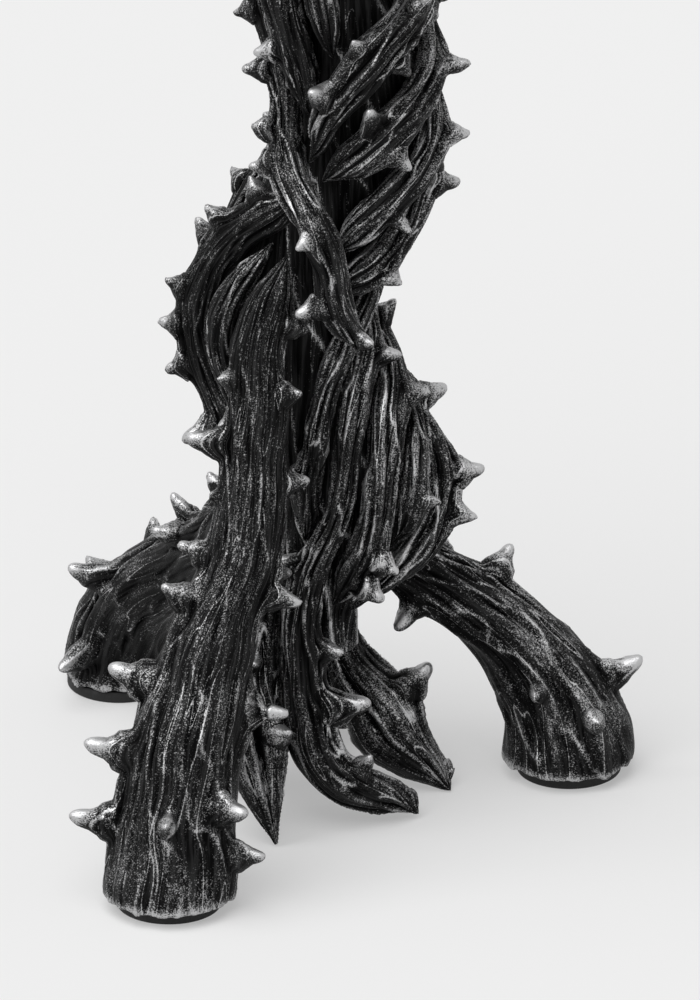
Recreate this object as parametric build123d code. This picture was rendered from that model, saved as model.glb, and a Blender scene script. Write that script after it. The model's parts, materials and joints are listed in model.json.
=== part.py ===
from build123d import *
from math import cos, radians, sin
import os

import numpy as np

# Whole stand: the strand routes below are shares of these two lengths
SPREAD = 50.0
TRUNK_HEIGHT = 200.0
STEM_GAP = 0.45

# Girths of the trunk core, the legs, the vines and the roots
CORE_RADIUS = 11.5
LEG_RADIUS = 12.0
VINE_RADIUS = 3.2
ROOT_RADIUS = 4.0

# Thorns
THORN_LENGTH = 6.2
THORN_GIRTH_SHARE = 0.42
THORN_HOOK_SHARE = 0.12
THORN_STEP = 15.0
THORN_ROOM = 1.0
SMALL_THORN_SHARE = 0.75
THORN_HOST_SHARE = 1.9
THORN_TURN = 137.5
THORN_TRIES = 6

# Side of the stand with few thorns: its bearing and lift, and the turn around it without small thorns
CLEAR_BEARING = 270.0
CLEAR_LIFT = 24.0
CLEAR_TURN = 58.0

# Foot pads
PAD_RADIUS = 9.4
PAD_THICKNESS = 2.2
PAD_RIM = 0.5

# Tie rod with its washer and nut under the core
ROD_RADIUS = 2.5
ROD_PLAY = 0.15
NUT_RADIUS = 4.6
NUT_HEIGHT = 4.0
WASHER_RADIUS = 5.0
WASHER_THICKNESS = 1.0
POCKET_RADIUS = 5.4
POCKET_DEPTH = 6.4
ROD_TAIL = 0.8

# Collar that seats the pan on top of the core
COLLAR_RADIUS = 11.0
COLLAR_THICKNESS = 3.0
BOSS_RADIUS = 6.0
BOSS_HEIGHT = 4.0
COLLAR_CHAMFER = 0.8

# Drip pan
PAN_RADIUS = 34.0
PAN_FLOOR_RADIUS = 25.0
PAN_RISE = 7.0
PAN_WALL = 1.8
PAN_LIP = 2.4
PAN_PLAY = 0.25
PAN_FLUTES = 12
FLUTE_RADIUS = 1.1

# Pricket spike
HUB_RADIUS = 5.4
HUB_HEIGHT = 4.5
SHANK_RADIUS = 3.2
SHANK_LENGTH = 9.0
SPIKE_TAPER = 34.0
SPIKE_TIP_RADIUS = 0.5
SPIKE_BORE_DEPTH = 10.0
ROD_END_GAP = 0.6

# Sampling of the strands
PATH_STEP = 3.0
RING_STEP = 7.0
CURVE_PIECES = 16
SETTLE_ROUNDS = 160
SETTLE_RATE = 0.4
SETTLE_REACH = 9.0
EVEN_PASSES = 10

# Trunk core: (across, height, girth) shares, from the root end to the crown
CORE_SHARES = (
    (0.02, 0.150, 0.60), (0.04, 0.225, 0.78), (0.12, 0.310, 1.00), (0.01, 0.390, 0.96),
    (-0.12, 0.470, 1.00), (-0.02, 0.550, 0.96), (0.13, 0.640, 0.96), (0.13, 0.740, 0.88),
    (0.00, 0.840, 0.90), (-0.07, 0.920, 0.86), (0.00, 0.985, 0.78), (0.00, 1.050, 0.70),
)

# Strand routes: (bearing in degrees, height, stand-off, girth) shares, 270 degrees faces the viewer
FRONT_LEG_SHARES = (
    (240, 0.011, 0.70, 1.00), (240, 0.063, 0.68, 0.93), (240, 0.135, 0.63, 0.83),
    (240, 0.202, 0.50, 0.71), (237, 0.268, 0.36, 0.56), (236, 0.335, 0.25, 0.54),
    (241, 0.395, 0.13, 0.52), (249, 0.455, 0.02, 0.45), (250, 0.500, 0.00, 0.37),
    (248, 0.535, 0.00, 0.25), (246, 0.555, 0.00, 0.10),
)
RIGHT_LEG_SHARES = (
    (14, 0.011, 0.53, 1.00), (14, 0.046, 0.53, 0.93), (16, 0.087, 0.50, 0.80),
    (18, 0.121, 0.44, 0.69), (22, 0.152, 0.35, 0.57), (30, 0.182, 0.20, 0.50),
    (46, 0.215, 0.05, 0.47), (72, 0.255, 0.00, 0.46), (100, 0.303, 0.00, 0.45),
    (122, 0.360, 0.00, 0.44), (136, 0.420, 0.00, 0.42), (138, 0.475, 0.00, 0.40),
    (132, 0.535, 0.00, 0.38), (123, 0.595, 0.00, 0.36), (118, 0.650, 0.00, 0.35),
    (120, 0.705, 0.00, 0.34), (132, 0.765, 0.00, 0.34), (158, 0.828, 0.00, 0.34),
    (194, 0.888, 0.00, 0.33), (226, 0.942, 0.00, 0.31), (252, 0.987, 0.04, 0.27),
    (264, 1.015, 0.16, 0.12),
)
LEFT_LEG_SHARES = (
    (127, 0.011, 0.87, 0.84), (127, 0.050, 0.86, 0.80), (129, 0.095, 0.76, 0.68),
    (131, 0.140, 0.60, 0.59), (134, 0.185, 0.36, 0.53), (148, 0.225, 0.16, 0.48),
    (172, 0.270, 0.04, 0.43), (193, 0.320, 0.00, 0.38), (201, 0.365, 0.00, 0.35),
    (196, 0.405, 0.00, 0.34), (189, 0.450, 0.00, 0.34), (189, 0.495, 0.00, 0.34),
    (196, 0.535, 0.00, 0.34), (210, 0.567, 0.00, 0.33), (230, 0.596, 0.00, 0.26),
    (243, 0.612, 0.00, 0.10),
)
LOBE_VINE_1_SHARES = (
    (234, 0.270, 0.00, 0.35), (243, 0.310, 0.00, 0.75), (252, 0.348, 0.00, 0.90),
    (268, 0.377, 0.00, 0.90), (284, 0.408, 0.00, 0.90), (302, 0.435, 0.00, 0.90),
    (324, 0.460, 0.00, 0.90), (352, 0.487, 0.00, 0.95), (390, 0.522, 0.00, 1.00),
    (428, 0.560, 0.00, 1.00), (452, 0.592, 0.00, 0.80), (468, 0.618, 0.00, 0.30),
)
LOBE_VINE_2_SHARES = (
    (330, 0.012, 0.25, 0.45), (314, 0.026, 0.11, 1.25), (283, 0.046, 0.03, 1.50),
    (258, 0.085, 0.01, 1.45), (250, 0.130, 0.00, 1.35), (251, 0.190, 0.00, 1.20),
    (256, 0.235, 0.00, 1.00), (260, 0.275, 0.00, 0.90), (268, 0.320, 0.00, 0.90),
    (285, 0.370, 0.00, 0.90), (304, 0.412, 0.00, 0.90), (324, 0.440, 0.00, 0.90),
    (347, 0.458, 0.00, 0.92), (380, 0.480, 0.00, 0.95), (416, 0.511, 0.00, 1.00),
    (444, 0.544, 0.00, 0.80), (462, 0.575, 0.00, 0.30),
)
LOBE_VINE_3_SHARES = (
    (272, 0.210, 0.00, 0.35), (279, 0.250, 0.00, 0.90), (285, 0.290, 0.00, 1.08),
    (295, 0.338, 0.00, 1.15), (320, 0.385, 0.00, 1.15), (345, 0.408, 0.00, 1.10),
    (376, 0.430, 0.00, 1.05), (412, 0.462, 0.00, 1.05), (444, 0.505, 0.00, 0.90),
    (466, 0.545, 0.00, 0.30),
)
LOBE_VINE_4_SHARES = (
    (314, 0.262, 0.00, 0.30), (315, 0.282, 0.00, 0.68), (317, 0.304, 0.00, 0.90),
    (322, 0.330, 0.00, 0.98), (338, 0.352, 0.00, 0.98), (358, 0.373, 0.00, 0.98),
    (386, 0.395, 0.00, 0.98), (416, 0.425, 0.00, 0.95), (448, 0.465, 0.00, 0.80),
    (476, 0.510, 0.00, 0.30),
)
LOBE_VINE_5_SHARES = (
    (300, 0.200, 0.00, 0.40), (318, 0.230, 0.00, 0.85), (338, 0.256, 0.00, 1.15),
    (354, 0.287, 0.00, 1.20), (363, 0.318, 0.00, 1.20), (378, 0.345, 0.00, 1.15),
    (402, 0.366, 0.00, 1.10), (432, 0.390, 0.00, 1.00), (462, 0.428, 0.00, 0.80),
    (488, 0.475, 0.00, 0.30),
)
UPPER_VINE_1_SHARES = (
    (238, 0.648, 0.05, 0.35), (249, 0.683, 0.06, 1.00), (267, 0.723, 0.04, 1.35),
    (298, 0.757, 0.00, 1.40), (345, 0.780, 0.00, 1.35), (396, 0.815, 0.00, 1.25),
    (438, 0.860, 0.00, 1.15), (470, 0.915, 0.00, 1.05), (491, 0.960, 0.01, 0.85),
    (503, 0.993, 0.05, 0.60), (510, 1.015, 0.15, 0.30),
)
UPPER_VINE_2_SHARES = (
    (282, 0.555, 0.00, 0.35), (292, 0.575, 0.00, 0.90), (302, 0.596, 0.00, 1.15),
    (318, 0.614, 0.00, 1.22), (346, 0.640, 0.00, 1.22), (382, 0.672, 0.00, 1.20),
    (424, 0.716, 0.00, 1.15), (461, 0.766, 0.00, 1.10), (491, 0.825, 0.00, 1.05),
    (522, 0.885, 0.00, 1.00), (551, 0.942, 0.00, 0.90), (573, 0.988, 0.04, 0.70),
    (585, 1.015, 0.16, 0.35),
)
UPPER_VINE_3_SHARES = (
    (298, 0.508, 0.00, 0.35), (311, 0.526, 0.00, 0.95), (330, 0.545, 0.00, 1.15),
    (353, 0.570, 0.00, 1.20), (378, 0.605, 0.00, 1.18), (410, 0.643, 0.00, 1.10),
    (438, 0.677, 0.00, 0.90), (458, 0.705, 0.00, 0.30),
)
UPPER_VINE_4_SHARES = (
    (318, 0.795, 0.00, 0.35), (350, 0.830, 0.00, 0.95), (390, 0.870, 0.00, 1.10),
    (430, 0.920, 0.00, 1.05), (462, 0.972, 0.02, 0.85), (480, 1.015, 0.15, 0.35),
)
CROSS_VINE_SHARES = (
    (313, 0.458, 0.08, 0.35), (304, 0.489, 0.10, 0.92), (288, 0.530, 0.11, 1.12),
    (273, 0.574, 0.13, 1.15), (255, 0.608, 0.14, 1.12), (231, 0.637, 0.06, 1.08),
    (212, 0.668, 0.00, 1.02), (203, 0.710, 0.00, 0.98), (198, 0.760, 0.00, 0.92),
    (199, 0.805, 0.00, 0.75), (202, 0.840, 0.00, 0.30),
)
UPPER_VINE_5_SHARES = (
    (252, 0.626, 0.00, 0.35), (262, 0.640, 0.00, 1.00), (280, 0.660, 0.00, 1.25),
    (303, 0.682, 0.00, 1.28), (345, 0.710, 0.00, 1.28), (394, 0.750, 0.00, 1.25),
    (436, 0.795, 0.00, 1.20), (468, 0.847, 0.00, 1.15), (498, 0.905, 0.00, 1.05),
    (524, 0.960, 0.02, 0.85), (540, 1.015, 0.15, 0.35),
)
TOP_VINE_1_SHARES = (
    (226, 0.685, 0.00, 0.40), (229, 0.715, 0.00, 1.10), (230, 0.760, 0.00, 1.25),
    (236, 0.820, 0.00, 1.25), (252, 0.885, 0.00, 1.20), (278, 0.945, 0.00, 1.10),
    (302, 0.988, 0.04, 0.80), (314, 1.015, 0.15, 0.35),
)
TOP_VINE_2_SHARES = (
    (253, 0.745, 0.00, 0.40), (256, 0.775, 0.00, 0.98), (264, 0.820, 0.00, 1.08),
    (284, 0.875, 0.00, 1.08), (314, 0.935, 0.00, 1.00), (342, 0.985, 0.04, 0.70),
    (356, 1.015, 0.15, 0.35),
)
INNER_VINE_SHARES = (
    (226, 0.370, 0.00, 0.35), (222, 0.405, 0.00, 0.95), (219, 0.445, 0.00, 1.15),
    (220, 0.485, 0.00, 1.15), (224, 0.528, 0.00, 0.95), (228, 0.565, 0.00, 0.35),
)
RIGHT_ROOT_SHARES = (
    (3, 0.017, 0.27, 0.60), (6, 0.030, 0.16, 1.15), (22, 0.058, 0.02, 1.25),
    (66, 0.102, 0.00, 1.15), (86, 0.150, 0.00, 1.05), (92, 0.200, 0.00, 0.60),
)
FRONT_ROOT_SHARES = (
    (251, 0.011, 0.31, 0.45), (241, 0.046, 0.19, 1.00), (226, 0.098, 0.09, 1.12),
    (215, 0.158, 0.03, 1.05), (214, 0.210, 0.01, 0.85), (219, 0.255, 0.00, 0.35),
)
BACK_ROOT_SHARES = (
    (66, 0.014, 0.50, 0.50), (84, 0.038, 0.28, 0.95), (114, 0.085, 0.08, 1.00),
    (128, 0.140, 0.00, 0.95), (134, 0.200, 0.00, 0.70), (137, 0.235, 0.00, 0.35),
)
LEFT_ROOT_SHARES = (
    (166, 0.014, 0.38, 0.45), (172, 0.042, 0.20, 0.95), (178, 0.095, 0.05, 1.00),
    (180, 0.160, 0.01, 0.90), (177, 0.205, 0.01, 0.65), (176, 0.232, 0.01, 0.35),
)

STRANDS = {
    "front_leg": (FRONT_LEG_SHARES, LEG_RADIUS),
    "right_leg": (RIGHT_LEG_SHARES, LEG_RADIUS),
    "left_leg": (LEFT_LEG_SHARES, LEG_RADIUS),
    "lobe_vine_1": (LOBE_VINE_1_SHARES, VINE_RADIUS),
    "lobe_vine_2": (LOBE_VINE_2_SHARES, VINE_RADIUS),
    "lobe_vine_3": (LOBE_VINE_3_SHARES, VINE_RADIUS),
    "lobe_vine_4": (LOBE_VINE_4_SHARES, VINE_RADIUS),
    "lobe_vine_5": (LOBE_VINE_5_SHARES, VINE_RADIUS),
    "upper_vine_1": (UPPER_VINE_1_SHARES, VINE_RADIUS),
    "upper_vine_2": (UPPER_VINE_2_SHARES, VINE_RADIUS),
    "upper_vine_3": (UPPER_VINE_3_SHARES, VINE_RADIUS),
    "upper_vine_4": (UPPER_VINE_4_SHARES, VINE_RADIUS),
    "upper_vine_5": (UPPER_VINE_5_SHARES, VINE_RADIUS),
    "top_vine_1": (TOP_VINE_1_SHARES, VINE_RADIUS),
    "top_vine_2": (TOP_VINE_2_SHARES, VINE_RADIUS),
    "cross_vine": (CROSS_VINE_SHARES, VINE_RADIUS),
    "inner_vine": (INNER_VINE_SHARES, VINE_RADIUS),
    "right_root": (RIGHT_ROOT_SHARES, ROOT_RADIUS),
    "front_root": (FRONT_ROOT_SHARES, ROOT_RADIUS),
    "back_root": (BACK_ROOT_SHARES, ROOT_RADIUS),
    "left_root": (LEFT_ROOT_SHARES, ROOT_RADIUS),
}
LEGS = ("front_leg", "right_leg", "left_leg")

# Thorns seen from the front: (height share, bearing, length share, lift in degrees) by strand
THORN_SHARES = {
    "front_leg": (
        (0.188, 180, 1.30, 0), (0.135, 182, 1.35, 35), (0.185, 350, 1.15, -5), (0.075, 185, 1.30, 0),
        (0.105, 312, 1.10, -5), (0.062, 335, 1.00, -20), (0.085, 262, 0.75, 5), (0.280, 350, 0.95, -8),
        (0.252, 195, 0.90, 20), (0.285, 180, 0.90, -5), (0.312, 178, 0.90, 0), (0.340, 190, 0.55, 20),
        (0.392, 185, 1.15, 15), (0.440, 215, 0.60, 10),
    ),
    "left_leg": (
        (0.110, 190, 1.15, 25), (0.200, 182, 0.85, 65), (0.215, 180, 0.85, 10), (0.052, 225, 1.15, -10),
        (0.385, 185, 1.05, 0), (0.436, 182, 0.80, 0), (0.497, 180, 0.70, 30), (0.560, 200, 0.70, 60),
    ),
    "right_leg": (
        (0.165, 20, 1.00, 55), (0.066, 5, 1.15, 30), (0.062, 300, 0.60, 10), (0.090, 262, 0.60, 5),
        (0.190, 300, 1.00, -60),
    ),
    "inner_vine": ((0.520, 190, 0.95, 0), (0.400, 200, 0.80, -8)),
    "upper_vine_1": ((0.706, 215, 0.95, -10), (0.742, 225, 0.55, 25), (0.772, 340, 0.75, 50)),
    "upper_vine_2": ((0.648, 350, 0.70, -8), (0.606, 340, 0.70, -12)),
    "upper_vine_3": ((0.590, 0, 0.85, 2), (0.542, 340, 0.60, -15)),
    "upper_vine_5": ((0.672, 240, 0.95, 40), (0.712, 350, 0.75, 5)),
    "cross_vine": ((0.592, 222, 0.60, 10), (0.530, 205, 0.90, 5), (0.490, 350, 0.70, -50),
                   (0.660, 182, 0.70, 25), (0.720, 182, 0.85, 0), (0.780, 180, 0.70, 5)),
    "lobe_vine_1": ((0.400, 215, 1.10, 25),),
    "lobe_vine_2": ((0.446, 325, 0.85, 70), (0.268, 200, 1.25, 5), (0.200, 350, 1.10, 12),
                    (0.112, 345, 1.30, 18), (0.085, 325, 1.10, 15), (0.038, 325, 0.75, 45)),
    "lobe_vine_3": ((0.392, 206, 1.25, 0), (0.252, 325, 0.90, -20)),
    "lobe_vine_4": ((0.384, 0, 0.90, 0), (0.320, 335, 0.55, 5)),
    "lobe_vine_5": ((0.318, 0, 0.85, 2), (0.280, 10, 0.70, 30), (0.258, 205, 0.75, 0)),
    "right_root": ((0.068, 15, 1.00, 62),),
    "front_root": ((0.150, 266, 0.60, 10), (0.085, 312, 0.60, 15)),
}

# Thorn outline: (reach, girth) shares from the buried foot to the blunt tip
THORN_PROFILE_SHARES = ((-0.30, 1.12), (0.05, 0.96), (0.35, 0.68), (0.70, 0.42), (1.00, 0.17))


def unit(vector):
    """The same direction with a length of one."""
    return vector / np.linalg.norm(vector)


def smooth_route(rows):
    """A dense smooth curve through the rows of a table."""
    rows = np.array(rows, dtype=float)
    padded = np.vstack([2 * rows[0] - rows[1], rows, 2 * rows[-1] - rows[-2]])
    dense = []
    for a, b, c, d in zip(padded, padded[1:], padded[2:], padded[3:]):
        for t in np.arange(CURVE_PIECES) / CURVE_PIECES:
            bend = (2 * a - 5 * b + 4 * c - d) * t + (3 * b - a - 3 * c + d) * t * t
            dense.append(b + ((c - a) + bend) * t / 2)
    return np.vstack([dense, rows[-1]])


def even_steps(dense, step):
    """The curve at even steps along its first three columns."""
    lengths = np.linalg.norm(np.diff(dense[:, :3], axis=0), axis=1)
    along = np.concatenate([[0], np.cumsum(lengths)])
    count = max(int(round(along[-1] / step)), 3)
    places = np.linspace(0, along[-1], count + 1)
    return np.column_stack([np.interp(places, along, column) for column in dense.T])


def core_path():
    """Centreline and radius of the trunk core."""
    dense = smooth_route(CORE_SHARES)
    flat = np.zeros(len(dense))
    path = np.column_stack([dense[:, 0] * SPREAD, flat, dense[:, 1] * TRUNK_HEIGHT, dense[:, 2] * CORE_RADIUS])
    return even_steps(path, PATH_STEP)


def strand_path(rows, girth, core):
    """Centreline and radius of a strand laid around the core."""
    turn, height, off, share = smooth_route(rows).T
    z = height * TRUNK_HEIGHT
    radius = share * girth
    across = np.interp(z, core[:, 2], core[:, 0])
    reach = np.interp(z, core[:, 2], core[:, 3]) + STEM_GAP + radius + off * SPREAD
    x = across + reach * np.cos(np.radians(turn))
    y = reach * np.sin(np.radians(turn))
    return even_steps(np.column_stack([x, y, z, radius]), PATH_STEP)


def evened(shift, owner):
    """Pushes spread along their own strand, so it bends instead of kinking."""
    for _ in range(EVEN_PASSES):
        calm = shift.copy()
        same = (owner[:-1] == owner[1:])[:, None]
        calm[1:] += np.where(same, shift[:-1] - shift[1:], 0) / 4
        calm[:-1] += np.where(same, shift[1:] - shift[:-1], 0) / 4
        shift = calm
    return shift


def settle(paths, core):
    """Moves crossing strands apart until they clear each other, the core and the floor."""
    joined = np.vstack([core] + paths)
    owner = np.concatenate([np.full(len(p), i) for i, p in enumerate([core] + paths)])
    spot, radius = joined[:, :3].copy(), joined[:, 3]
    far = np.linalg.norm(spot[:, None, :] - spot[None, :, :], axis=2)
    apart = radius[:, None] + radius[None, :] + STEM_GAP
    here, there = np.nonzero((owner[:, None] != owner[None, :]) & (far < apart + SETTLE_REACH))
    apart = apart[here, there]
    weight = np.where(owner[there] == 0, 1, radius[there] ** 2 / (radius[here] ** 2 + radius[there] ** 2))
    lowest = np.minimum(joined[:, 2], radius + STEM_GAP)
    for _ in range(SETTLE_ROUNDS):
        gap = spot[here] - spot[there]
        far = np.linalg.norm(gap, axis=1)
        press = np.clip(apart - far, 0, None) * weight / far
        shift = np.column_stack([np.bincount(here, press * axis, len(spot)) for axis in gap.T])
        shift[owner == 0] = 0
        spot += SETTLE_RATE * evened(shift, owner)
        spot[:, 2] = np.maximum(spot[:, 2], lowest)
    settled = np.column_stack([spot, radius])
    return [settled[owner == i + 1] for i in range(len(paths))]


def ring(spot, facing, side, radius):
    """A circle at a place of a stem."""
    return Wire.make_circle(radius, Plane(origin=tuple(spot), x_dir=tuple(side), z_dir=tuple(facing)))


def frames(path):
    """Direction and side vector at each place of a path, turning as little as possible."""
    along = np.gradient(path[:, :3], axis=0)
    along /= np.linalg.norm(along, axis=1)[:, None]
    side = unit(np.cross(along[0], (0.3, 1.0, 0.2)))
    sides = []
    for direction in along:
        side = unit(side - direction * side.dot(direction))
        sides.append(side)
    return along, np.array(sides)


def tube(path, flat_foot):
    """A round stem through rings along a path, standing level on its foot if it has one."""
    path = even_steps(path, RING_STEP)
    if flat_foot:
        path[0, 2] = PAD_THICKNESS
    along, sides = frames(path)
    if flat_foot:
        along[0] = (0, 0, 1)
        sides[0] = unit(np.array([sides[1][0], sides[1][1], 0]))
    return Solid.make_loft([ring(p[:3], a, s, p[3]) for p, a, s in zip(path, along, sides)])


def thorn(foot, lean, along, length):
    """One thorn: a wide foot, a taper and a blunt tip bent along the stem."""
    rings = []
    for reach, girth in THORN_PROFILE_SHARES:
        bend = THORN_HOOK_SHARE * max(reach, 0)
        spot = foot + length * (lean * reach + along * bend * reach)
        rings.append(ring(spot, unit(lean + 2 * along * bend), along, length * THORN_GIRTH_SHARE * girth))
    return Solid.make_loft(rings)


def thorn_balls(foot, lean, length):
    """Round stand-ins of a thorn along its reach: place and radius."""
    return [[*(foot + lean * length * reach), length * THORN_GIRTH_SHARE * girth]
            for reach, girth in THORN_PROFILE_SHARES[1:]]


def has_room(balls, others, length, feet):
    """Whether a thorn clears the floor, every other strand and the thorns already grown."""
    for ball in np.array(balls):
        near = np.linalg.norm(others[:, :3] - ball[:3], axis=1) - others[:, 3]
        if near.min() < ball[3] + THORN_ROOM or ball[2] < ball[3] + STEM_GAP:
            return False
    return all(np.linalg.norm(balls[0][:3] - near) > length for near in feet)


def pointed(bearing, lift):
    """The direction with the given bearing and lift."""
    flat = cos(radians(lift))
    return np.array([flat * cos(radians(bearing)), flat * sin(radians(bearing)), sin(radians(lift))])


def leaned(direction, bearing, lift):
    """The direction nearest to the given bearing and lift that is square to a stem."""
    wish = pointed(bearing, lift)
    return unit(wish - direction * wish.dot(direction))


def seen_wishes(name, path):
    """Places, directions and lengths of the thorns in the table of one strand."""
    along, _ = frames(path)
    for height, bearing, share, lift in THORN_SHARES.get(name, ()):
        place = int(np.argmin(np.abs(path[:, 2] - height * TRUNK_HEIGHT)))
        yield place, [leaned(along[place], bearing, lift)], share * THORN_LENGTH


def spread_wishes(path):
    """Smaller thorns at even steps along a strand, with a choice of sides for each."""
    along, sides = frames(path)
    stride = int(round(THORN_STEP / PATH_STEP))
    for place in range(stride, len(path) - stride // 2, stride):
        angles = [radians(THORN_TURN * (place + attempt)) for attempt in range(THORN_TRIES)]
        across = np.cross(along[place], sides[place])
        leans = [sides[place] * cos(a) + across * sin(a) for a in angles]
        leans = [lean for lean in leans if lean.dot(pointed(CLEAR_BEARING, CLEAR_LIFT)) < cos(radians(CLEAR_TURN))]
        yield place, leans, SMALL_THORN_SHARE * THORN_LENGTH


def grow_thorns(paths, core):
    """Thorns of all strands, each on the first side that has room for it."""
    balls = {name: list(path) for name, path in paths.items()}
    grown = {name: [] for name in paths}
    feet = {name: [] for name in paths}
    wishes = [(name, wish) for name in paths for wish in seen_wishes(name, paths[name])]
    wishes += [(name, wish) for name in paths for wish in spread_wishes(paths[name])]
    for name, (place, leans, length) in wishes:
        path = paths[name]
        others = np.vstack([core] + [np.array(b) for key, b in balls.items() if key != name])
        along, _ = frames(path)
        for lean in leans:
            length = min(length, THORN_HOST_SHARE * path[place, 3])
            foot = path[place, :3] + lean * path[place, 3]
            new = thorn_balls(foot, lean, length)
            if has_room(new, others, length, feet[name]):
                grown[name].append(thorn(foot, lean, along[place], length))
                feet[name].append(foot)
                balls[name] += new
                break
    return grown


def thorny_stem(path, thorns, flat_foot):
    """One strand with its thorns."""
    stem = tube(path, flat_foot)
    return stem.fuse(*thorns) if thorns else stem


def trunk_core(core):
    """Smooth wavy core with the rod bore and the nut pocket."""
    body = tube(core, False)
    low, high = core[0, 2], core[-1, 2]
    level = Pos(0, 0, low) * Cylinder(2 * CORE_RADIUS, high - low, align=(Align.CENTER, Align.CENTER, Align.MIN))
    bore = Cylinder(ROD_RADIUS + ROD_PLAY, 3 * TRUNK_HEIGHT)
    pocket = Pos(0, 0, low + POCKET_DEPTH) * Cylinder(
        POCKET_RADIUS, 2 * POCKET_DEPTH, align=(Align.CENTER, Align.CENTER, Align.MAX))
    return (body & level) - bore - pocket


def foot_pad(path):
    """Rubber pad under one leg, with a softened lower rim."""
    pad = Cylinder(PAD_RADIUS, PAD_THICKNESS, align=(Align.CENTER, Align.CENTER, Align.MIN))
    pad = fillet(pad.edges().group_by(Axis.Z)[0], PAD_RIM)
    return Pos(path[0, 0], path[0, 1], 0) * pad


def turned(outline):
    """A solid turned around the upright axis from (radius, height) points."""
    face = make_face(Polyline(*[(r, 0, z) for r, z in outline], close=True))
    return revolve(face, Axis.Z)


def tie_rod(low, high):
    """Steel rod from the nut to the inside of the spike."""
    foot = low + POCKET_DEPTH - WASHER_THICKNESS - NUT_HEIGHT - ROD_TAIL
    top = high + COLLAR_THICKNESS + BOSS_HEIGHT + SPIKE_BORE_DEPTH - ROD_END_GAP
    return Pos(0, 0, foot) * Cylinder(ROD_RADIUS, top - foot, align=(Align.CENTER, Align.CENTER, Align.MIN))


def rod_washer(low):
    """Washer against the roof of the nut pocket."""
    ring_face = Circle(WASHER_RADIUS) - Circle(ROD_RADIUS + ROD_PLAY)
    return extrude(Pos(0, 0, low + POCKET_DEPTH - WASHER_THICKNESS) * ring_face, WASHER_THICKNESS)


def rod_nut(low):
    """Hexagon nut under the washer."""
    face = RegularPolygon(NUT_RADIUS, 6) - Circle(ROD_RADIUS + ROD_PLAY)
    return extrude(Pos(0, 0, low + POCKET_DEPTH - WASHER_THICKNESS - NUT_HEIGHT) * face, NUT_HEIGHT)


def pan_collar(seat):
    """Flanged collar on the core, with a boss that centres the pan."""
    hole = ROD_RADIUS + ROD_PLAY
    flange = seat + COLLAR_THICKNESS
    return turned([
        (hole, seat), (COLLAR_RADIUS - COLLAR_CHAMFER, seat), (COLLAR_RADIUS, seat + COLLAR_CHAMFER),
        (COLLAR_RADIUS, flange), (BOSS_RADIUS, flange), (BOSS_RADIUS, flange + BOSS_HEIGHT),
        (hole, flange + BOSS_HEIGHT),
    ])


def drip_pan(floor):
    """Dished pan with a thick lip and a fluted rim, loose over the collar boss."""
    hole = BOSS_RADIUS + PAN_PLAY
    top = floor + PAN_RISE
    pan = turned([
        (hole, floor), (PAN_FLOOR_RADIUS, floor), (PAN_RADIUS, top - PAN_LIP), (PAN_RADIUS, top),
        (PAN_RADIUS - PAN_LIP, top), (PAN_FLOOR_RADIUS - PAN_WALL / 2, floor + PAN_WALL), (hole, floor + PAN_WALL),
    ])
    flute = Pos(PAN_RADIUS + FLUTE_RADIUS / 4, 0, top) * Cylinder(FLUTE_RADIUS, 2 * PAN_LIP + PAN_WALL)
    for index in range(PAN_FLUTES):
        pan -= Rot(0, 0, 360 / PAN_FLUTES * index) * flute
    return pan


def pricket_spike(seat):
    """Spike with a hub on the collar boss, a straight shank and a long taper."""
    hub = seat + HUB_HEIGHT
    shank = hub + SHANK_LENGTH
    bore = ROD_RADIUS + ROD_PLAY
    return turned([
        (bore, seat), (HUB_RADIUS, seat), (HUB_RADIUS, hub - COLLAR_CHAMFER), (HUB_RADIUS - COLLAR_CHAMFER, hub),
        (SHANK_RADIUS, hub), (SHANK_RADIUS, shank), (SPIKE_TIP_RADIUS, shank + SPIKE_TAPER),
        (0, shank + SPIKE_TAPER), (0, seat + SPIKE_BORE_DEPTH), (bore, seat + SPIKE_BORE_DEPTH),
    ])


def build():
    """All nodes of the stand by name."""
    core = core_path()
    low, high = core[0, 2], core[-1, 2]
    guides = [strand_path(rows, girth, core) for rows, girth in STRANDS.values()]
    paths = dict(zip(STRANDS, settle(guides, core)))
    thorns = grow_thorns(paths, core)
    nodes = {name: thorny_stem(paths[name], thorns[name], name in LEGS) for name in STRANDS}
    nodes["trunk_core"] = trunk_core(core)
    for name in LEGS:
        nodes[name.replace("leg", "pad")] = foot_pad(paths[name])
    boss_top = high + COLLAR_THICKNESS + BOSS_HEIGHT
    nodes["tie_rod"] = tie_rod(low, high)
    nodes["rod_washer"] = rod_washer(low)
    nodes["rod_nut"] = rod_nut(low)
    nodes["pan_collar"] = pan_collar(high)
    nodes["drip_pan"] = drip_pan(high + COLLAR_THICKNESS)
    nodes["pricket_spike"] = pricket_spike(boss_top)
    return nodes


def main():
    os.makedirs("parts", exist_ok=True)
    nodes = build()
    box = Compound(children=[Compound(shape.solids()) for shape in nodes.values()]).bounding_box()
    centre = Pos(-box.center().X, -box.center().Y, 0)
    for name, shape in nodes.items():
        export_step(centre * Compound(shape.solids()), "parts/" + name + ".step")


if __name__ == "__main__":
    main()
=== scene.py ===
import heapq
import json
from math import cos, inf, radians, sin

import bmesh
import bpy
import numpy as np
from bpy.props import FloatProperty, FloatVectorProperty, PointerProperty
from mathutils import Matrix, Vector, noise
from mathutils.kdtree import KDTree


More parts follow.
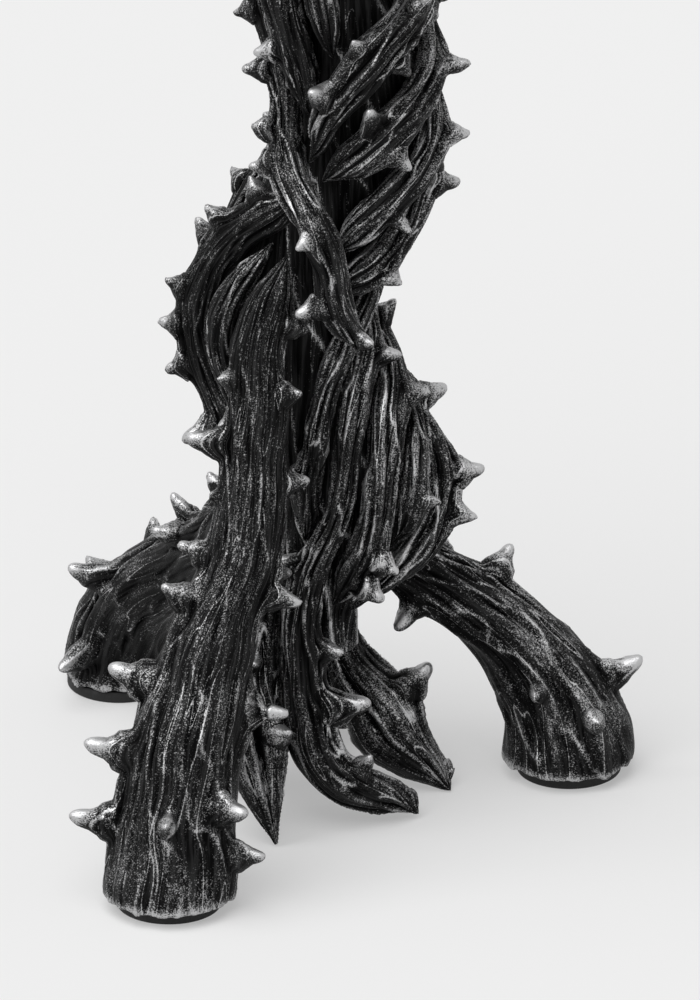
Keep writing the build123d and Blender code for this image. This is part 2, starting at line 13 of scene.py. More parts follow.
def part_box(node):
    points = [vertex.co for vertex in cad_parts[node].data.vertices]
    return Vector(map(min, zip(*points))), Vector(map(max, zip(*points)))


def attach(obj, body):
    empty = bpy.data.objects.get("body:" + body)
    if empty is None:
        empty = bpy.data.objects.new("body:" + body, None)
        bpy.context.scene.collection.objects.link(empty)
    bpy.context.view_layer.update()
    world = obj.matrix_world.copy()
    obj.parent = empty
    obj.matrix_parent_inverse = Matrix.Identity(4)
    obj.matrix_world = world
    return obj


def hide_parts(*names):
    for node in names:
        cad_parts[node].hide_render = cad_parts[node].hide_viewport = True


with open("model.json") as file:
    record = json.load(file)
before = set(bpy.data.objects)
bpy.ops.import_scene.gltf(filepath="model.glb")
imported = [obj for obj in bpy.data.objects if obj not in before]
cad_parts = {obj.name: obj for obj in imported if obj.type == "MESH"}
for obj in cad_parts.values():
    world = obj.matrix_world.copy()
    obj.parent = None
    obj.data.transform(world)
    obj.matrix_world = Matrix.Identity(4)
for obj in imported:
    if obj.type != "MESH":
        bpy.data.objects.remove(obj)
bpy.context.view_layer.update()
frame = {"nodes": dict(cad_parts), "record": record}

bl_info = {
    "name": "Thorny Candle Stand",
    "version": (1, 0, 0),
    "blender": (4, 5, 0),
    "location": "View3D > Sidebar > Candle Stand",
    "description": "Dresses a candle stand of thorny vines: dry-brushed bark, iron pan, steel spike, rubber pads",
    "category": "Object",
}

# The frame: the rod's box and axis, the nodes of each finish and the body of each node
ROD_LOW, ROD_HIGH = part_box("tie_rod")
ROD_AXIS = (ROD_LOW + ROD_HIGH) / 2
ROD_SPOT = np.array(ROD_AXIS)
SLOT_OF = {row["node"]: row["material_slot"] for row in frame["record"]["subparts"]}
STEMS = [node for node, slot in SLOT_OF.items() if slot == "bark_resin"]
LEGS = [node for node in STEMS if node.endswith("_leg")]
ROOTS = [node for node in STEMS if node.endswith("_root")]
PADS = [node for node, slot in SLOT_OF.items() if slot == "pad_rubber"]
FASTENERS = [node for node, slot in SLOT_OF.items() if slot == "fastener_steel"]
BODY_OF = {node: body for body, nodes in frame["record"]["behaviour"]["bodies"].items() for node in nodes}

# A pair of numbers below is a ramp, given by the places where it is 0 and 1, or else a pair of limits

# Skins: parts of the grain within which vertices are one, smoothing, filling of creases, full relief
WELD_PARTS = 50
STEM_PASSES = 2
HOLLOW_PASSES = 8
HOLLOW_FILL = 0.6
RELIEF_PASSES = 10
RELIEF_DEPTH = 0.00022

# Centrelines: smoothing of the coarse skin and of the line, fewest points, first side vector
CENTRE_PASSES = 14
LINE_PASSES = 4
LINE_POINTS = 8
FIRST_SIDE = (0.3, 1.0, 0.2)

# Girth of a stem: steepest wall that counts and points of the line that share a mean
WALL_TILT = 0.6
GIRTH_WINDOW = 7

# Shifts of the noises from one stem to the next
SEED_SHIFT = np.array((0.37, 0.91, 0.53))
DRIFT_SHIFT = 1.7
FINE_DRIFT_SHIFT = 1.1
STRENGTH_SHIFT = 2.3
STRENGTH_START = 7
FLOW_SHIFT = 0.1

# Sharp edges along a stem: fewest, length of their drift in radii, drift, strength and sharpness
FLUTES_LEAST = 4
DRIFT_RADII = 4
COARSE_DRIFT = 1.1
FINE_DRIFT = 0.5
FINE_DRIFT_SCALE = 2.3
STRENGTH_MEAN = 0.65
STRENGTH_SPREAD = 1.9
STRENGTH_SCALE = (1.2, 2.4, 2.4)
STRENGTH_LIMITS = (0.05, 1.3)
EDGE_SHARPNESS = 5

# Radius of a stem whose hollows have their full depth, and how fast thicker stems lose it
SLIM_STEM = 0.0042
SHALLOWING = 1.3

# Bark ridges: how far they wander and over what length, radius of a stem with full ridges, least share
RIDGE_WANDER = 0.0012
WANDER_SIZE = 0.014
RIDGED_STEM = 0.006
RIDGE_LEAST = 0.5

# What counts as a thorn: girths that a plain stem may reach, least rise, distance between tips, farthest point
OUT_OF_ROUND = 1.12
THIN_GIRTH = 0.8
THORN_LEAST = 0.0022
THORN_GAP = 0.005
THORN_FIELD = 0.010
THORN_CALM = 0.9

# Outline of a thorn: rise at its start and foot, radius of a short one in lengths, narrowing, bluntness,
# limits of the change, smallest girth
THORN_START = (0.0002, 0.0008)
THORN_FOOT = 0.0012
FOOT_POINTS = 3
SHORT_GIRTH = 0.42
THORN_NARROWING = 0.4
THORN_BLUNTNESS = 6
THORN_LIMITS = (0.35, 1.4)
LEAST_GIRTH = 1e-6

# Stubs without a tip: distance from the next thorn, height on the stand, share that is pressed flat
STUB_FAR = (0.006, 0.008)
STUB_HEIGHT = (0.03, 0.04)
STUB_PRESS = 0.85

# Ribs below thorns: how many times shorter above the thorn, fading, width
RIB_ABOVE = 2.2
RIB_FADE = 1.5
RIB_WIDTH = 0.0009

# Pointed ends: share drawn in, less by the rise of thorns and by the distance from a tip
END_SHARE = 0.95
END_RISE = (0.0015, 0.0)
END_BESIDE = (0.008, 0.003)
END_THORN = 0.6

# Root toes: place and length of the claw, way over which it is lowered, height over the floor
CLAW_PLACE = 0.016
CLAW_LENGTH = 0.013
CLAW_DROP = (0.035, 0.0)
CLAW_FLOOR = 0.0004

# Heights between which the braid is drawn towards the rod
TRUNK_LOW = (0.055, 0.085)
TRUNK_HIGH = (0.19, 0.165)

# Ragged rim of a foot: band over the floor, reach beyond the pad, mean lift, share and size of its teeth
RIM_BAND = (0.006, 0.0)
RIM_REACH = (0.0092, 0.0112)
RIM_MEAN = 0.75
RIM_TEETH = 0.5
TEETH_SIZE = 0.0022
RIM_CHIPS = 0.25
CHIP_SIZE = 0.0008
RIM_WIDTH = 0.0010

# Silver: on rims and on the edges of legs, on thorns by their tilt (more on their upper sides and less
# underneath, as painted light from above), on legs by height, on root toes
RIM_SILVER = 0.8
LEG_CREST = 0.5
TIP_SIDE = 0.72
THORN_TOP_LIGHT = 0.5
TIP_LEAST = 0.2
LEG_CLIMB = (0.02, 0.10)
LEG_LOSS = 0.5
TOE_HEIGHT = (0.0216, 0.0036)
TOE_TILT = 0.2
TOE_GAIN = 1.6

# Core: skin, its wall and ends, the part among the vines and the thinner part below them, and how much silver is
# taken off among the vines as painted shade
CORE_GRAIN = 0.0005
CORE_PASSES = 4
CORE_RADIUS = 0.009
CORE_AXIS = 0.001
CORE_WALL = (0.0066, 0.0076)
CORE_END = (0.0, 0.008)
CORE_AMONG = (0.045, 0.065)
CORE_BELOW = (0.055, 0.035)
CORE_FILL = 0.0022
CORE_LOSS = 0.0012
CORE_PAINTED_SHADE = 1.3
CORE_RELIEF_PASSES = 12

# Folds of the core: number, height of a turn by one radian, wander, depth; its lumps and ridges
FOLDS = 4
FOLD_TURN = 0.030
FOLD_WANDER = 1.6
FOLD_SIZE = 0.009
FOLD_STRETCH = 3.0
FOLD_DEPTH = 0.0016
CORE_LUMP = 0.0003
CORE_LUMP_SIZE = 0.003
CORE_LUMP_STRETCH = 4.0
CORE_RIDGE = 0.0002
CORE_RIDGE_SIZE = 0.0013
CORE_RIDGE_STRETCH = 12

# Pads: outline in radii and heights, steps around, edges that are rounded
PAD_OUTLINE = ((0.0, 0.10), (0.70, 0.10), (0.78, 0.0), (1.0, 0.0), (1.0, 1.0), (0.0, 1.0))
PAD_STEPS = 96
PAD_WELD = 1e-7
PAD_EDGE = radians(30)
PAD_ROUNDING = 0.2
PAD_SEGMENTS = 4

# Metal pieces: skins, smoothing and the dents of the ironwork
IRON_GRAINS = {"drip_pan": 0.0004, "pan_collar": 0.0003}
IRON_PASSES = 3
DENT_DEPTH = 0.00012
DENT_SIZE = 0.003
SPIKE_GRAIN = 0.00025
SPIKE_PASSES = 2

# Paint: brush strokes on bare bark and iron, metal and roughness of black and silver, stains and dust
BARE_BARK = -4.03
BARE_IRON = -2.9
SILVER_METAL = 0.9
SILVER_ROUGHNESS = 0.36
BLACK_ROUGHNESS = 0.46
STAIN_SHADE = 0.45
MARK_ROUGHNESS = 0.12
DUST_SHADE = 3.5

# Direction of the key light, longer side of the picture in pixels and of the sensor in millimetres
KEY_FROM = Vector((-0.5, -0.5, 1.4))
PICTURE_SIDE = 1000
SENSOR_SIDE = 36.0


class StemSizes(bpy.types.PropertyGroup):
    """Sizes of the bark on legs, vines and roots."""

    grain: FloatProperty(
        name="Skin grain", description="Edge length of the even skin on a stem",
        default=0.00036, unit="LENGTH")
    leg_grain: FloatProperty(
        name="Leg grain", description="Edge length of the even skin on a leg",
        default=0.00039, unit="LENGTH")
    coarse_grain: FloatProperty(
        name="Coarse grain", description="Edge length of the skin that shows a stem's centreline",
        default=0.0015, unit="LENGTH")
    flute_spacing: FloatProperty(
        name="Flute spacing", description="Distance between the sharp edges around a stem",
        default=0.0043, unit="LENGTH")
    flute_depth: FloatProperty(
        name="Flute depth", description="Depth of the hollows between the sharp edges",
        default=0.0009, unit="LENGTH")
    flute_drift: FloatProperty(
        name="Flute drift", description="Length over which the sharp edges wander",
        default=0.016, unit="LENGTH")
    flute_twist: FloatProperty(
        name="Flute twist", description="Length of stem over which the edges wind once around",
        default=0.16, unit="LENGTH")
    ridge_spacing: FloatProperty(
        name="Ridge spacing", description="Distance between bark ridges",
        default=0.0013, unit="LENGTH")
    ridge_height: FloatProperty(
        name="Ridge height", description="Height of the bark ridges",
        default=0.00022, unit="LENGTH")
    ridge_stretch: FloatProperty(
        name="Ridge stretch", description="Length of a bark ridge in ridge spacings",
        default=12.0)
    lump_size: FloatProperty(
        name="Lump size", description="Width of the soft lumps of a stem",
        default=0.009, unit="LENGTH")
    lump_height: FloatProperty(
        name="Lump height", description="Height of the soft lumps",
        default=0.0006, unit="LENGTH")
    thorn_root: FloatProperty(
        name="Thorn root", description="Length of the rib that runs down from a thorn",
        default=0.017, unit="LENGTH")
    thorn_rib: FloatProperty(
        name="Thorn rib height", description="Height of that rib at the thorn",
        default=0.0014, unit="LENGTH")
    thorn_reach: FloatProperty(
        name="Thorn reach", description="Height over the stem at which a thorn is all silver",
        default=0.0045, unit="LENGTH")
    thorn_girth: FloatProperty(
        name="Thorn girth", description="Radius of a long thorn at its foot",
        default=0.0021, unit="LENGTH")
    taper: FloatProperty(
        name="Taper", description="Length over which a stem's end runs to a point",
        default=0.007, unit="LENGTH")
    claw_taper: FloatProperty(
        name="Claw taper", description="How many times longer a root's toe runs to its point",
        default=2.0)
    claw_width: FloatProperty(
        name="Claw width", description="Share by which a root's toe is wider",
        default=0.5, subtype="FACTOR")
    slimming: FloatProperty(
        name="Slimming", description="Share of a vine's girth that lies under its bark edges",
        default=0.06, subtype="FACTOR")
    trunk_slimming: FloatProperty(
        name="Trunk slimming", description="Share by which the braid is drawn towards the rod",
        default=0.09, subtype="FACTOR")
    rim_lift: FloatProperty(
        name="Rim lift", description="Height of a foot's ragged rim over its pad",
        default=0.0007, unit="LENGTH")


class FinishColours(bpy.types.PropertyGroup):
    """Colours of the paint, the metals and the rubber."""

    black: FloatVectorProperty(
        name="Black", description="Satin black of the casting",
        default=(0.0018, 0.0018, 0.0019), subtype="COLOR")
    silver: FloatVectorProperty(
        name="Silver", description="Dry-brushed silver",
        default=(0.52, 0.52, 0.525), subtype="COLOR")
    rubber: FloatVectorProperty(
        name="Rubber", description="Black of the foot pads",
        default=(0.012, 0.012, 0.012), subtype="COLOR")
    steel: FloatVectorProperty(
        name="Steel", description="Bright steel of rod, washer, nut and spike",
        default=(0.55, 0.55, 0.56), subtype="COLOR")


class StageSettings(bpy.types.PropertyGroup):
    """Floor, light and camera."""

    floor: FloatVectorProperty(
        name="Floor", description="Colour of the floor and the backdrop",
        default=(0.871, 0.871, 0.871), subtype="COLOR")
    floor_size: FloatProperty(
        name="Floor size", description="Half side of the floor",
        default=8.0, unit="LENGTH")
    sky: FloatProperty(
        name="Sky", description="Strength of the even light from all around",
        default=0.31)
    key: FloatProperty(
        name="Key", description="Strength of the wide soft light at the upper left",
        default=2.42)
    softness: FloatProperty(
        name="Softness", description="Width of that light as an angle",
        default=radians(64), subtype="ANGLE")
    shadow_relief: FloatProperty(
        name="Shadow relief", description="Share of the floor's look that takes no shadow",
        default=0.42, subtype="FACTOR")
    distance: FloatProperty(
        name="Camera distance", description="Camera to the middle of the picture",
        default=6.0, unit="LENGTH")
    elevation: FloatProperty(
        name="Camera elevation", description="Camera angle above the floor",
        default=radians(24), subtype="ANGLE")
    pixel: FloatProperty(
        name="Pixel size", description="Real size of a picture pixel at the trunk",
        default=0.000179, unit="LENGTH")
    aim_x: FloatProperty(
        name="Aim across", description="Picture centre to the right of the rod axis",
        default=0.0061, unit="LENGTH")
    aim_z: FloatProperty(
        name="Aim height", description="Height of the picture centre on the rod axis",
        default=0.0578, unit="LENGTH")


# Numbers at many points

def ramp(values, start, end):
    """0 at the start, 1 at the end and a straight line between."""
    return np.clip((values - start) / (end - start), 0, 1)


def dots(first, second):
    """Dot product of each pair of rows."""
    return np.einsum("ij,ij->i", first, second)


def eased(values, edges, passes):
    """Vertex values drawn towards the mean of their neighbours."""
    first, second = edges.T
    degree = np.bincount(edges.ravel(), minlength=len(values))
    for _ in range(passes):
        mean = [np.bincount(first, column[second], len(values)) + np.bincount(second, column[first], len(values))
                for column in values.T]
        values = (values + np.array(mean).T / degree[:, None]) / 2
    return values


def rumble(points, size):
    """Soft noise at the points, from about -1 to 1, with lumps of the given size."""
    return np.array([noise.noise(place) for place in (points / size).tolist()])


def ridges(points, size):
    """Sharp ridges at the points, up to 1, with the given distance between them."""
    return 1 - np.abs(rumble(points, size)) * 2


# Mesh reading and writing

def points_of(mesh):
    """Places of all vertices."""
    flat = np.empty(len(mesh.vertices) * 3, np.float32)
    mesh.vertices.foreach_get("co", flat)
    return flat.reshape(-1, 3).astype(float)


def normals_of(mesh):
    """Outward directions at all vertices."""
    flat = np.empty(len(mesh.vertices) * 3, np.float32)
    mesh.vertex_normals.foreach_get("vector", flat)
    return flat.reshape(-1, 3).astype(float)


def edges_of(mesh):
    """Vertex pairs of all edges."""
    flat = np.empty(len(mesh.edges) * 2, np.int32)
    mesh.edges.foreach_get("vertices", flat)
    return flat.reshape(-1, 2)


def set_points(mesh, points):
    """Moves all vertices to the given places."""
    mesh.vertices.foreach_set("co", points.astype(np.float32).ravel())
    mesh.update()


def calmed(mesh, passes):
    """Smooths a mesh and returns the new places of its vertices."""
    points = eased(points_of(mesh), edges_of(mesh), passes)
    set_points(mesh, points)
    return points


def store(mesh, name, values):
    """Keeps a number or a vector at each vertex for the materials."""
    if values.ndim == 1:
        mesh.attributes.new(name, "FLOAT", "POINT").data.foreach_set("value", values.astype(np.float32))
    else:
        layer = mesh.attributes.new(name, "FLOAT_VECTOR", "POINT")
        layer.data.foreach_set("vector", values.astype(np.float32).ravel())


def write_shape(shape, mesh):
    """Writes an edited shape into a mesh."""
    shape.to_mesh(mesh)
    shape.free()


def placed(name, data):
    """A new object in the scene, at the origin."""
    thing = bpy.data.objects.new(name, data)
    bpy.context.scene.collection.objects.link(thing)
    return thing


# Pieces made from the nodes

def skin_of(node, grain):
    """A new piece with the node's shape as one even closed skin."""
    mesh = frame["nodes"][node].data.copy()
    welded = bmesh.new()
    welded.from_mesh(mesh)
    bmesh.ops.remove_doubles(welded, verts=welded.verts, dist=grain / WELD_PARTS)
    write_shape(welded, mesh)
    piece = placed(node + "_skin", mesh)
    even = piece.modifiers.new("even_skin", "REMESH")
    even.mode = "VOXEL"
    even.voxel_size = grain
    graph = bpy.context.evaluated_depsgraph_get()
    piece.data = bpy.data.meshes.new_from_object(piece.evaluated_get(graph))
    piece.modifiers.clear()
    piece.data.materials.clear()
    bpy.data.meshes.remove(mesh)
    keep_largest(piece.data)
    return piece


def keep_largest(mesh):
    """Deletes all but the largest connected part of a skin."""
    edges = edges_of(mesh)
    part = np.arange(len(mesh.vertices))
    while True:
        lower = part.copy()
        np.minimum.at(lower, edges[:, 0], part[edges[:, 1]])
        np.minimum.at(lower, edges[:, 1], part[edges[:, 0]])
        lower = lower[lower]
        if np.array_equal(lower, part):
            break
        part = lower
    strays = np.flatnonzero(part != np.bincount(part).argmax())
    if len(strays):
        shape = bmesh.new()
        shape.from_mesh(mesh)
        shape.verts.ensure_lookup_table()
        bmesh.ops.delete(shape, geom=[shape.verts[index] for index in strays], context="VERTS")
        write_shape(shape, mesh)


def dressed(piece, node, material):
    """The piece with its finish, standing for its node and riding on that node's body."""
    piece.data.shade_smooth()
    piece.data.materials.append(material)
    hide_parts(node)
    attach(piece, BODY_OF[node])
    return piece


def fill_hollows(mesh, passes, share):
    """Fills hollow creases, such as the feet of thorns, and leaves alone what stands out."""
    points, normals = points_of(mesh), normals_of(mesh)
    hollow = dots(normals, eased(points, edges_of(mesh), passes) - points)
    set_points(mesh, points + normals * (share * np.clip(hollow, 0, None))[:, None])


def relief_of(mesh, passes=RELIEF_PASSES):
    """How far each vertex stands out of its smoothed surroundings, from -1 to 1."""
    points, edges, normals = points_of(mesh), edges_of(mesh), normals_of(mesh)
    proud = dots(normals, points - eased(points, edges, passes))
    return np.clip(proud / RELIEF_DEPTH, -1, 1)


# Coordinates along and around a stem

def way_from(seeds, points, edges):
    """Length of the shortest way over the mesh from the seeds to each point."""
    lengths = np.linalg.norm(points[edges[:, 0]] - points[edges[:, 1]], axis=1)
    near = [[] for _ in points]
    for (a, b), length in zip(edges.tolist(), lengths.tolist()):
        near[a].append((b, length))
        near[b].append((a, length))
    way = [inf] * len(points)
    heap = [(0.0, seed) for seed in seeds]
    while heap:
        done, here = heapq.heappop(heap)
        if done >= way[here]:
            continue
        way[here] = done
        for there, length in near[here]:
            if done + length < way[there]:
                heapq.heappush(heap, (done + length, there))
    return np.array(way)


def centre_line(node, grain):
    """Points along the middle of a stem, from its foot or lower end to its upper end, and the way to each."""
    coarse = skin_of(node, grain)
    mesh = coarse.data
    points, edges = points_of(mesh), edges_of(mesh)
    bpy.data.objects.remove(coarse)
    bpy.data.meshes.remove(mesh)
    calm = eased(points, edges, CENTRE_PASSES)
    start = np.flatnonzero(points[:, 2] < points[:, 2].min() + grain).tolist()
    if node not in LEGS:
        top = int(calm[:, 2].argmax())
        start = [int(way_from([top], calm, edges).argmax())]
    slices = (way_from(start, calm, edges) / (2 * grain)).astype(int)
    line = np.array([calm[slices == place].mean(axis=0) for place in np.unique(slices)])
    for _ in range(LINE_PASSES):
        line[1:-1] = (line[:-2] + 2 * line[1:-1] + line[2:]) / 4
    way = np.concatenate([[0], np.cumsum(np.linalg.norm(np.diff(line, axis=0), axis=1))])
    places = np.linspace(0, way[-1], max(int(way[-1] / grain), LINE_POINTS))
    return np.column_stack([np.interp(places, way, column) for column in line.T]), places


def side_vectors(line):
    """Direction and two side vectors along a centreline, turning as little as possible."""
    along = np.gradient(line, axis=0)
    along /= np.linalg.norm(along, axis=1)[:, None]
    side = np.cross(along[0], FIRST_SIDE)
    sides = []
    for direction in along:
        side = side - direction * side.dot(direction)
        side /= np.linalg.norm(side)
        sides.append(side)
    return along, np.array(sides), np.cross(along, sides)


class Flow:
    """Way along a stem, angle around it, reach from its middle and girth there, at each vertex."""

    def __init__(self, mesh, node, grain):
        points, normals = points_of(mesh), normals_of(mesh)
        line, places = centre_line(node, grain)
        along, sides, across = side_vectors(line)
        tree = KDTree(len(line))
        for index, spot in enumerate(line):
            tree.insert(spot, index)
        tree.balance()
        near = np.array([tree.find(spot)[1] for spot in points.tolist()])
        offset = points - line[near]
        self.middle, self.along = line[near], along[near]
        self.way = places[near] + dots(offset, self.along)
        right, up = dots(offset, sides[near]), dots(offset, across[near])
        self.angle = np.arctan2(up, right)
        self.reach = np.hypot(right, up)
        wall = np.abs(dots(normals, self.along)) < WALL_TILT
        girths = self.girths(len(line), near, wall)
        self.girth = girths[near]
        self.radius = np.median(girths)

    def girths(self, count, near, wall):
        """Usual reach of the wall at each point of the centreline."""
        girths = np.full(count, np.nan)
        for index in range(count):
            ring = self.reach[wall & (near == index)]
            if len(ring):
                girths[index] = np.median(ring)
        known = np.flatnonzero(~np.isnan(girths))
        girths = np.interp(np.arange(count), known, girths[known])
        padded = np.pad(girths, GIRTH_WINDOW // 2, "edge")
        return np.convolve(padded, np.ones(GIRTH_WINDOW) / GIRTH_WINDOW, "valid")

    def coordinates(self):
        """The flow as a point on a straight cylinder of the stem's usual radius."""
        return np.column_stack([self.way, self.radius * np.cos(self.angle), self.radius * np.sin(self.angle)])

    def inward(self, points):
        """The way from the points to the middle of the stem, straight across it."""
        offset = self.middle - points
        return offset - self.along * dots(offset, self.along)[:, None]

    def turned_from(self, angle):
        """Distance around the stem from an angle."""
        turn = (self.angle - angle + np.pi) % (2 * np.pi) - np.pi
        return turn * self.girth


# Bark and thorns

def thorn_tips(points, rise):
    """Vertices at the tips of the thorns, each the highest of its neighbourhood."""
    tips = []
    for index in np.argsort(-rise):
        if rise[index] < THORN_LEAST:
            break
        if all(np.linalg.norm(points[index] - points[tip]) > THORN_GAP for tip in tips):
            tips.append(index)
    return tips


def flute_depth_at(flow, sizes, seed):
    """Depth of the hollows between the sharp edges that run along a stem, and how near an edge is."""
    count = max(FLUTES_LEAST, round(2 * np.pi * flow.radius / sizes.flute_spacing))
    stretch = max(sizes.flute_drift, DRIFT_RADII * flow.radius)
    ring = np.column_stack([flow.way / stretch, np.cos(flow.angle), np.sin(flow.angle)])
    drift = COARSE_DRIFT * rumble(ring + seed * DRIFT_SHIFT, 1.0)
    drift += FINE_DRIFT * rumble(ring * FINE_DRIFT_SCALE + seed * FINE_DRIFT_SHIFT, 1.0)
    place = count * flow.angle / (2 * np.pi) + flow.way / sizes.flute_twist * count + drift
    hollow = np.abs(np.sin(np.pi * place))
    uneven = rumble(ring * STRENGTH_SCALE + seed * STRENGTH_SHIFT + STRENGTH_START, 1.0)
    strength = np.clip(STRENGTH_MEAN + STRENGTH_SPREAD * uneven, *STRENGTH_LIMITS)
    depth = sizes.flute_depth * min(1, (SLIM_STEM / flow.radius) ** SHALLOWING)
    return depth * hollow * strength, (1 - hollow) ** EDGE_SHARPNESS * np.clip(strength, 0, 1)


def bark_height(flow, points, sizes, seed):
    """Height of edges, ridges, lumps and thorn ribs over the plain stem; rise and tips of the thorns; edges."""
    shift = seed * SEED_SHIFT
    stretched = flow.coordinates() / [sizes.ridge_stretch, 1, 1]
    wander = RIDGE_WANDER * rumble(points + shift, WANDER_SIZE)
    ridged = ridges(stretched + shift + wander[:, None], sizes.ridge_spacing)
    rise = np.clip(flow.reach - OUT_OF_ROUND * np.maximum(flow.girth, THIN_GIRTH * flow.radius), 0, None)
    calm = 1 - THORN_CALM * ramp(rise, 0, sizes.thorn_reach / 2)
    hollow, edge = flute_depth_at(flow, sizes, seed)
    ridge = sizes.ridge_height * np.clip(flow.radius / RIDGED_STEM, RIDGE_LEAST, 1)
    height = ridge * ridged - hollow + sizes.lump_height * rumble(points + shift, sizes.lump_size)
    tips = thorn_tips(points, rise)
    for tip in tips:
        below = (flow.way[tip] - flow.way) / sizes.thorn_root
        fade = np.clip(1 - np.maximum(below, -RIB_ABOVE * below), 0, 1) ** RIB_FADE
        width = RIB_WIDTH * (1 + fade)
        around = np.exp(-(flow.turned_from(flow.angle[tip]) / width) ** 2)
        height += sizes.thorn_rib * fade * around
    return height * calm, rise, edge * calm, tips


def bullet_thorns(flow, points, rise, tips, sizes):
    """Points of the thorns brought to a slim bullet around the middle line of each; stubs are pressed flat."""
    moved = points.copy()
    if not tips:
        return moved
    far = np.array([np.linalg.norm(points - points[tip], axis=1) for tip in tips])
    nearest = far.argmin(axis=0)
    for index, tip in enumerate(tips):
        own = np.flatnonzero((nearest == index) & (rise > THORN_START[0]) & (far[index] < THORN_FIELD))
        foot = own[rise[own] < THORN_FOOT]
        if len(foot) < FOOT_POINTS:
            continue
        middle = points[foot].mean(axis=0)
        axis = points[tip] - middle
        length = np.linalg.norm(axis)
        axis /= length
        up = (points[own] - middle).dot(axis)
        aside = points[own] - middle - axis * up[:, None]
        girth = np.linalg.norm(aside, axis=1)
        share = np.clip(up / length, 0, 1)
        outline = min(sizes.thorn_girth, SHORT_GIRTH * length) * (1 - THORN_NARROWING * share)
        outline *= np.sqrt(1 - share ** THORN_BLUNTNESS)
        change = np.clip(outline / np.maximum(girth, LEAST_GIRTH), *THORN_LIMITS) - 1
        moved[own] += aside * (change * ramp(rise[own], *THORN_START))[:, None]
    stub = ramp(far.min(axis=0), *STUB_FAR) * ramp(points[:, 2], *STUB_HEIGHT)
    return moved + flow.inward(points) * (STUB_PRESS * stub * rise / flow.reach)[:, None]


def pointed_ends(flow, points, rise, tips, sizes, low_taper):
    """Points drawn to the centreline near the ends of a stem, but not on thorns and less beside them."""
    from_end = (flow.way.max() - flow.way) / sizes.taper
    if low_taper:
        from_end = np.minimum(from_end, (flow.way - flow.way.min()) / low_taper)
    slim = 1 - np.sqrt(np.clip(from_end, 0, 1))
    slim *= END_SHARE * ramp(rise, *END_RISE)
    for tip in tips:
        slim *= 1 - END_THORN * ramp(np.linalg.norm(points - points[tip], axis=1), *END_BESIDE)
    return points + flow.inward(points) * slim[:, None]


def slimmed(flow, points, share):
    """Points of a stem and its thorns moved in by a share of the girth."""
    return points + flow.inward(points) * (share * flow.girth / np.maximum(flow.reach, flow.girth))[:, None]


def broad_claw(flow, points, sizes):
    """Points of a root with its toe widened into a claw and lowered to the floor."""
    wider = sizes.claw_width * np.exp(-((flow.way - CLAW_PLACE) / CLAW_LENGTH) ** 2)
    widened = slimmed(flow, points, -wider)
    drop = widened[:, 2].min() * ramp(flow.way, *CLAW_DROP) ** 2
    widened[:, 2] = np.maximum(widened[:, 2] - drop, CLAW_FLOOR)
    return widened


def drawn_in(points, sizes):
    """Points of the trunk drawn towards the rod, where the braid is tight."""
    share = ramp(points[:, 2], *TRUNK_LOW) * ramp(points[:, 2], *TRUNK_HIGH)
    across = (ROD_SPOT - points) * [1, 1, 0]
    return points + across * (sizes.trunk_slimming * share)[:, None]


def ragged_rim(flow, points, sizes, seed):
    """Points of a foot lifted around its pad, in a ragged line."""
    near_floor = ramp(points[:, 2] - points[:, 2].min(), *RIM_BAND) ** 2
    teeth = RIM_TEETH * rumble(points + seed, TEETH_SIZE) + RIM_CHIPS * rumble(points + seed, CHIP_SIZE)
    points[:, 2] += sizes.rim_lift * near_floor * ramp(flow.reach, *RIM_REACH) * (RIM_MEAN + teeth)
    return points


def top_light_and_height_of(node, upward, height):
    """Silver share of a stem's faces: more on upward faces as painted light from above, more on root toes, less
    high up a leg.
    """
    if node in LEGS:
        return upward - LEG_LOSS * ramp(height, *LEG_CLIMB)
    if node in ROOTS:
        return upward + TOE_GAIN * ramp(height, *TOE_HEIGHT) * np.clip(upward + TOE_TILT, 0, 1)
    return upward


def bark_skin(node, seed, sizes):
    """One stem with bark ridges, sharp edges and ribbed thorns."""
    leg, root = node in LEGS, node in ROOTS
    piece = skin_of(node, sizes.leg_grain if leg else sizes.grain)
    mesh = piece.data
    calmed(mesh, STEM_PASSES)
    fill_hollows(mesh, HOLLOW_PASSES, HOLLOW_FILL)
    points = points_of(mesh)
    flow = Flow(mesh, node, sizes.coarse_grain)
    height, rise, edge, tips = bark_height(flow, points, sizes, seed)
    moved = bullet_thorns(flow, points, rise, tips, sizes) + normals_of(mesh) * height[:, None]
    low_taper = 0 if leg else sizes.taper * (sizes.claw_taper if root else 1)
    moved = pointed_ends(flow, moved, rise, tips, sizes, low_taper)
    rim = 0
    if leg:
        moved = ragged_rim(flow, moved, sizes, seed)
        rim = np.exp(-((moved[:, 2] - moved[:, 2].min() - 2 * sizes.rim_lift) / RIM_WIDTH) ** 2)
    else:
        moved = slimmed(flow, moved, sizes.slimming)
    moved[:, 2] = np.maximum(moved[:, 2], points[:, 2].min())
    if root:
        moved = broad_claw(flow, moved, sizes)
    set_points(mesh, drawn_in(moved, sizes))
    upward = normals_of(mesh)[:, 2]
    # Thorn silver, more on upward faces and less on undersides: painted light from above.
    tip = ramp(rise, 0, sizes.thorn_reach) * np.clip(TIP_SIDE + THORN_TOP_LIGHT * upward, TIP_LEAST, 1)
    store(mesh, "flow", flow.coordinates() + seed * FLOW_SHIFT)
    store(mesh, "relief", relief_of(mesh))
    store(mesh, "crest", edge * (LEG_CREST if leg else 1))
    store(mesh, "tip", np.maximum(tip, RIM_SILVER * rim))
    # Upward faces get more silver: painted light from above.
    store(mesh, "painted_top_light_and_height", top_light_and_height_of(node, upward, moved[:, 2]))
    return piece


# Materials

